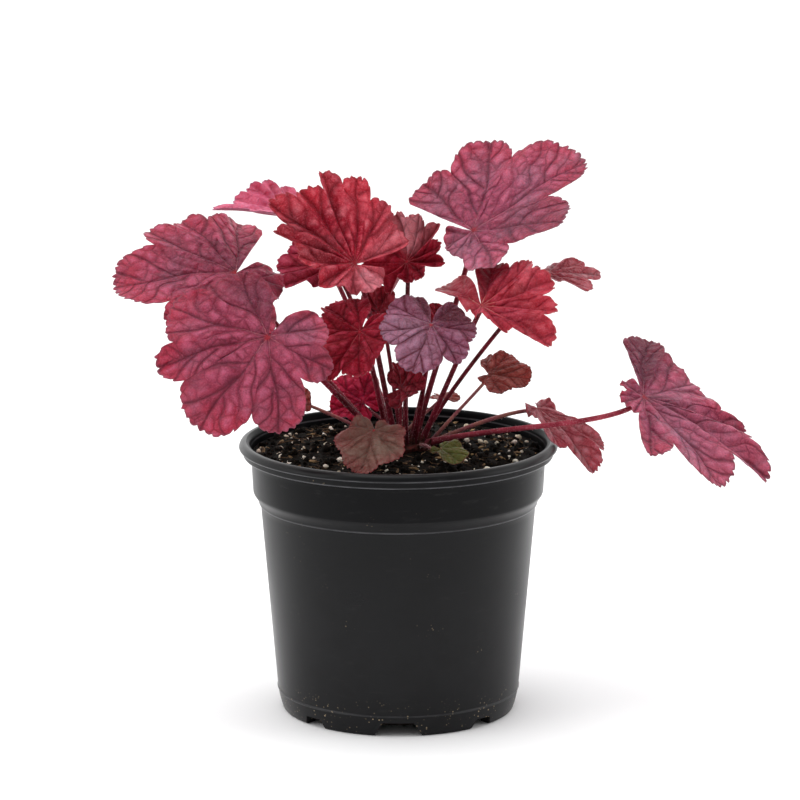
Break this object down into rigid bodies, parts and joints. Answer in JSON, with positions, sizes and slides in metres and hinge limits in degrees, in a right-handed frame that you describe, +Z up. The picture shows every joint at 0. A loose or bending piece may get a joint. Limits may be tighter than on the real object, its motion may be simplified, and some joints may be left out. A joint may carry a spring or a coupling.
{
  "type": "potted heuchera plant",
  "caption": "Coral bells plant with lobed, ruffled plum and red leaves on slender stalks, growing in a tapered black nursery pot of potting mix.",
  "frame": {"origin": "centre of the pot's underside, on the surface it stands on", "axes": "+Z up along the pot's axis; +X towards the long drooping leaf; -Y towards the side that the large low leaves lean to"},
  "size_m": [0.3398, 0.1685, 0.2901],
  "materials": {
    "pot_plastic": "satin injection-moulded black plastic, lightly scuffed",
    "potting_mix": "moist dark peaty mix with perlite and bark",
    "crown": "rough woody stock",
    "blade_plum": "thin leaf, satin plum pink with dark net of veins",
    "blade_red": "thin leaf, satin red, puckered",
    "blade_dark": "thin young leaf, satin dark red",
    "blade_grey": "thin leaf, matt purple grey with dark veins",
    "blade_brown": "thin leaf, matt brownish",
    "blade_olive": "thin leaf, matt olive green",
    "petiole_dark": "dark crimson stalk with fine pale hairs",
    "petiole_pale": "pinkish tan stalk with fine pale hairs"
  },
  "bodies": {
    "root": {"pot": "pot_plastic", "potting_mix": "potting_mix", "crown": "crown", "leaf_far_left_blade": "blade_plum", "leaf_far_left_petiole": "petiole_dark", "leaf_front_left_blade": "blade_plum", "leaf_front_left_petiole": "petiole_dark", "leaf_back_left_blade": "blade_plum", "leaf_back_left_petiole": "petiole_dark", "leaf_upper_middle_blade": "blade_red", "leaf_upper_middle_petiole": "petiole_dark", "leaf_hidden_left_blade": "blade_plum", "leaf_hidden_left_petiole": "petiole_dark", "leaf_ruffled_middle_blade": "blade_red", "leaf_ruffled_middle_petiole": "petiole_dark", "leaf_upper_right_blade": "blade_plum", "leaf_upper_right_petiole": "petiole_dark", "leaf_bright_red_blade": "blade_red", "leaf_bright_red_petiole": "petiole_dark", "leaf_back_right_blade": "blade_plum", "leaf_back_right_petiole": "petiole_dark", "leaf_purple_grey_blade": "blade_grey", "leaf_purple_grey_petiole": "petiole_dark", "leaf_front_middle_blade": "blade_red", "leaf_front_middle_petiole": "petiole_dark", "leaf_dark_middle_blade": "blade_red", "leaf_dark_middle_petiole": "petiole_dark", "leaf_low_back_blade": "blade_plum", "leaf_low_back_petiole": "petiole_dark", "leaf_young_curled_blade": "blade_dark", "leaf_young_curled_petiole": "petiole_dark", "leaf_small_right_blade": "blade_brown", "leaf_small_right_petiole": "petiole_pale", "leaf_low_front_blade": "blade_brown", "leaf_low_front_petiole": "petiole_pale", "leaf_olive_blade": "blade_olive", "leaf_olive_petiole": "petiole_pale", "leaf_drooping_right_blade": "blade_plum", "leaf_drooping_right_petiole": "petiole_dark", "leaf_drooping_small_blade": "blade_plum", "leaf_drooping_small_petiole": "petiole_pale", "leaf_small_left_blade": "blade_brown", "leaf_small_left_petiole": "petiole_pale", "leaf_small_back_blade": "blade_brown", "leaf_small_back_petiole": "petiole_pale", "leaf_young_behind_blade": "blade_dark", "leaf_young_behind_petiole": "petiole_dark", "leaf_young_upright_blade": "blade_dark", "leaf_young_upright_petiole": "petiole_dark"}
  },
  "joints": []
}
